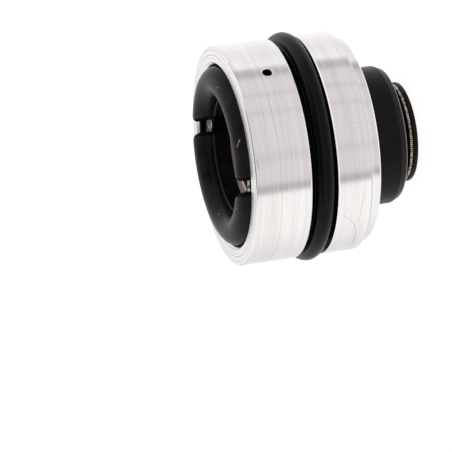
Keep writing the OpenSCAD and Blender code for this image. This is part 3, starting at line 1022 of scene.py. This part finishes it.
for half_turn in (0, math.pi):
    bumper = cut(bumper, notch_cutter(PLATE_TOP - PLATE_MARGIN, bumper_r - WEB, half_turn))
    bumper = cut(bumper, notch_cutter(RIM_Z - WEB_DEPTH, LAND_R, half_turn))
fitted(bumper, "rebound_bumper")

# %% [markdown]
# ## The plate and the bush
#
# The plate is a stamped steel washer that the bumper is moulded on; it shows only at the floor
# of the notches. The bush is rolled from strip, so it has a butt joint. A joint could be left
# by turning less than a full circle, but the lathe closes its seam, so a thin slot is cut.

# %% Turn the plate and the bush
STAMPED_EDGE = 0.1
BUSH_BORE = 8.03
BUSH_EDGE = 0.12
SEAM_SIZE = (4, 0.15, 30)
SEAM_ANGLE = 135

plate = turned("bumper_plate_steel", rounded([
    (PLATE_HOLE, PLATE_BOTTOM, STAMPED_EDGE), (PLATE_R, PLATE_BOTTOM, STAMPED_EDGE),
    (PLATE_R, PLATE_TOP, STAMPED_EDGE), (PLATE_HOLE, PLATE_TOP, STAMPED_EDGE)]), steel)
fitted(plate, "bumper_plate")

bush = turned("split_guide_bush", rounded([
    (BUSH_BORE, BUSH_BOTTOM, BUSH_EDGE), (BUSH_R, BUSH_BOTTOM, STAMPED_EDGE),
    (BUSH_R, BUSH_TOP, STAMPED_EDGE), (BUSH_BORE, BUSH_TOP, BUSH_EDGE)]), lining)
seam = bmesh.new()
bmesh.ops.create_cube(seam, size=1)
seam_size = Matrix.Diagonal([size * MM for size in SEAM_SIZE] + [1])
seam_place = Matrix.Translation((BUSH_BORE * MM, 0, BUSH_BOTTOM * MM))
seam.transform(Matrix.Rotation(math.radians(SEAM_ANGLE), 4, "Z") @ seam_place @ seam_size)
bush = cut(bush, seam)
fitted(bush, "guide_bush")

# %% [markdown]
# ## The dust seal
#
# The dust seal stands out of the lower end: a round body with a chamfered shoulder, a neck for
# its spring, and a flange whose edge wipes the rod. It is turned from its section. A spring's
# groove is a dip in the wall, which is left as a flat neck here, because the coils fill it.

# %% Turn the dust seal
ROD_R = 8.0
LIP_Z = 1.1
LIP_SLANT = 0.6
FLANGE_R = 10.46
FLANGE_TOP = 1.0
NECK_R = 9.5
NECK_TOP = 2.0
COLLAR_R = 9.85
COLLAR_FOOT = 2.2
HEAD_Z = 3.57
SHOULDER_R = 13.73
SHOULDER_TOP = HEAD_Z + 1.58
CUP_R = 11.6
CUP_FLOOR = HEAD_Z + 3.58
THROAT_R = 8.9

dust_seal = turned("dust_seal_rubber", rounded([
    (ROD_R, LIP_Z, 0.05), (ROD_R + LIP_SLANT, 0, 0.05),
    (FLANGE_R, 0, 0.3), (FLANGE_R, FLANGE_TOP, 0.08),
    (NECK_R, FLANGE_TOP, 0.1), (NECK_R, NECK_TOP, 0.1),
    (COLLAR_R, COLLAR_FOOT, 0.1), (COLLAR_R, HEAD_Z, 0.15),
    (SHOULDER_R, HEAD_Z, 0.25), (DUST_R, SHOULDER_TOP, 0.35),
    (DUST_R, DUST_TOP - EDGE, BROKEN), (DUST_R - EDGE, DUST_TOP, BROKEN),
    (CUP_R, DUST_TOP, 0.1), (CUP_R, CUP_FLOOR, 0.3),
    (THROAT_R, SHOULDER_TOP, 0.3), (THROAT_R, HEAD_Z, 0.3),
]), seal_rubber)
fitted(dust_seal, "dust_seal")

# %% [markdown]
# ## The oil seal and its washer
#
# The oil seal lies behind the dust seal, where only the bore shows it. It has a lip with a
# spring of its own, in a pocket between two walls, and a steel washer parts the two seals.
# They could be plain rings, but they show through the bore, so both have their real section.

# %% Turn the oil seal and the washer
OIL_BORE = 8.8
POCKET_R = 12.6
POCKET_FLOOR = OIL_BOTTOM + 1.8
LIP_R = 10.6
SPRING_SEAT = 10.0
LIP_EDGE_Z = OIL_BOTTOM + 4.0
LIP_TOP = OIL_BOTTOM + 5.6

oil_seal = turned("oil_seal_lip", rounded([
    (OIL_BORE, OIL_BOTTOM, 0.1), (OIL_R, OIL_BOTTOM, 0.1),
    (OIL_R, OIL_TOP, 0.1), (POCKET_R, OIL_TOP, 0.1),
    (POCKET_R, POCKET_FLOOR, 0.2), (LIP_R, POCKET_FLOOR, 0.2),
    (LIP_R, OIL_BOTTOM + 3.6, 0.1), (SPRING_SEAT, OIL_BOTTOM + 3.8, 0.1),
    (SPRING_SEAT, OIL_BOTTOM + 5.0, 0.1), (LIP_R, OIL_BOTTOM + 5.2, 0.1),
    (LIP_R, LIP_TOP, 0.1), (THROAT_R, LIP_TOP, 0.1),
    (ROD_R, LIP_EDGE_Z, 0.03), (OIL_BORE, POCKET_FLOOR, 0.2),
]), oil_rubber)
fitted(oil_seal, "oil_seal")

washer = turned("seal_backing_washer", rounded([
    (WALL_R, DUST_TOP, STAMPED_EDGE), (DUST_R, DUST_TOP, STAMPED_EDGE),
    (DUST_R, OIL_BOTTOM, STAMPED_EDGE), (WALL_R, OIL_BOTTOM, STAMPED_EDGE)]), steel)
fitted(washer, "seal_washer")

# %% [markdown]
# ## The garter springs
#
# A garter spring is a close-wound coil joined into a ring. It presses a lip on the rod. Modelled
# by hand it would be a great many turns, so Geometry Nodes bend a circle into the coil: each
# point of the circle is set out from it by an angle that goes round many times on the way. A
# thin round section is then swept along it.

# %% Build the coil's tree
WIRE_SIDES = 6

winder, given = new_tree("garter_coil", {
    "Ring Radius": "NodeSocketFloat", "Height": "NodeSocketFloat", "Coil Radius": "NodeSocketFloat",
    "Wire Radius": "NodeSocketFloat", "Turns": "NodeSocketInt", "Steps": "NodeSocketInt",
    "Finish": "NodeSocketMaterial"})
count = add(winder, "ShaderNodeMath", {0: given["Turns"], 1: given["Steps"]}, operation="MULTIPLY")
ring = add(winder, "GeometryNodeCurvePrimitiveCircle", {"Resolution": count, "Radius": 1.0})
index = add(winder, "GeometryNodeInputIndex")
part = add(winder, "ShaderNodeMath", {0: index, 1: given["Steps"]}, operation="DIVIDE")
phase = add(winder, "ShaderNodeMath", {0: part, 1: 2 * math.pi}, operation="MULTIPLY")
swing = add(winder, "ShaderNodeMath", {0: phase}, operation="COSINE")
lift = add(winder, "ShaderNodeMath", {0: phase}, operation="SINE")
reach = add(winder, "ShaderNodeMath", {
    0: swing, 1: given["Coil Radius"], 2: given["Ring Radius"]}, operation="MULTIPLY_ADD")
level = add(winder, "ShaderNodeMath", {
    0: lift, 1: given["Coil Radius"], 2: given["Height"]}, operation="MULTIPLY_ADD")
unit = add(winder, "GeometryNodeInputPosition")
out = add(winder, "ShaderNodeVectorMath", {0: unit, "Scale": reach}, operation="SCALE")
raised = add(winder, "ShaderNodeCombineXYZ", {"Z": level})
spot = add(winder, "ShaderNodeVectorMath", {0: out, 1: raised}, operation="ADD")
ring = add(winder, "GeometryNodeSetPosition", {"Geometry": ring, "Position": spot})
section = add(winder, "GeometryNodeCurvePrimitiveCircle", {
    "Resolution": WIRE_SIDES, "Radius": given["Wire Radius"]})
coil = add(winder, "GeometryNodeCurveToMesh", {"Curve": ring, "Profile Curve": section})
end_tree(winder, coil, given["Finish"])

# %% Wind the springs
# The real wire is finer and closer wound, and is drawn thicker so that its turns show
WIRE_R = 0.16
COIL_PITCH = 0.42
STEPS_PER_TURN = 14


def garter_spring(name, node):
    """A garter spring in the room of a plain ring."""
    low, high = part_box(node)
    thickness = high[2] - low[2]
    ring_radius = high[0] - thickness / 2
    turns = round(2 * math.pi * ring_radius / (COIL_PITCH * MM))
    made = grown(name, bpy.data.meshes.new(name + "_start"), winder, {
        "Ring Radius": ring_radius, "Height": (low[2] + high[2]) / 2,
        "Coil Radius": thickness / 2 - WIRE_R * MM, "Wire Radius": WIRE_R * MM,
        "Turns": turns, "Steps": STEPS_PER_TURN, "Finish": wire})
    fitted(made, node)
    print(name, "has", turns, "turns")


garter_spring("dust_seal_garter", "dust_seal_spring")
garter_spring("oil_seal_garter", "oil_seal_spring")
